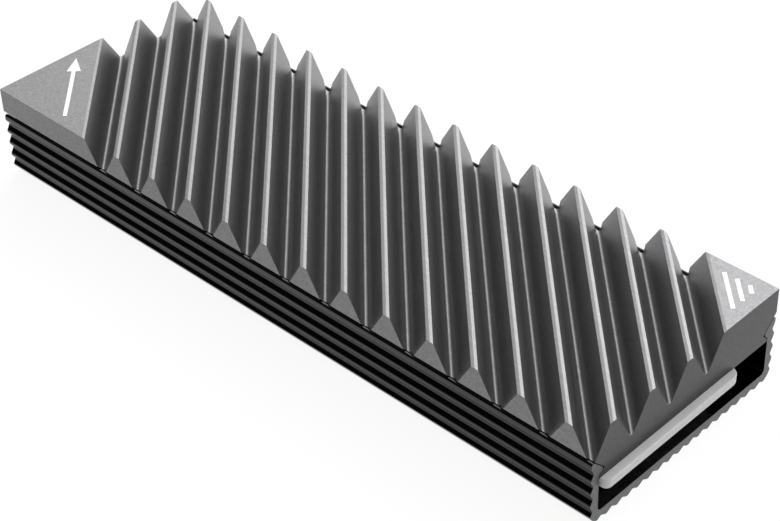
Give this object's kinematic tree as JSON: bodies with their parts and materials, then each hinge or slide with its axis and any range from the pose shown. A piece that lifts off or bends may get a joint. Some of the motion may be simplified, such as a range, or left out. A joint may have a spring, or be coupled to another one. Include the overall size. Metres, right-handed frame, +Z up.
{
  "type": "ssd heat sink",
  "caption": "Slim finned heat sink block that slides into a ribbed U-shaped tray, clamping a flat drive board against a thermal pad.",
  "frame": {"origin": "centre of the footprint, at the height of the tray's lowest ribs", "axes": "+X along the length, towards the end with the small corner flat; +Y across, from the front side of the picture to the back; +Z up through the fins"},
  "size_m": [0.0754, 0.0248, 0.0098],
  "materials": {
    "grey_anodised": "fine-blasted, grey anodised",
    "black_anodised": "glossy black anodised, ends saw-cut",
    "pad_silicone": "matt"
  },
  "bodies": {
    "tray": {"ribbed_tray": "black_anodised"},
    "block": {"finned_heat_sink": "grey_anodised", "thermal_pad": "pad_silicone"}
  },
  "joints": [
    {"name": "block_slide", "type": "slide", "parent": "tray", "child": "block", "axis": [1, 0, 0], "range_m": [-0.06, 0.06]}
  ]
}
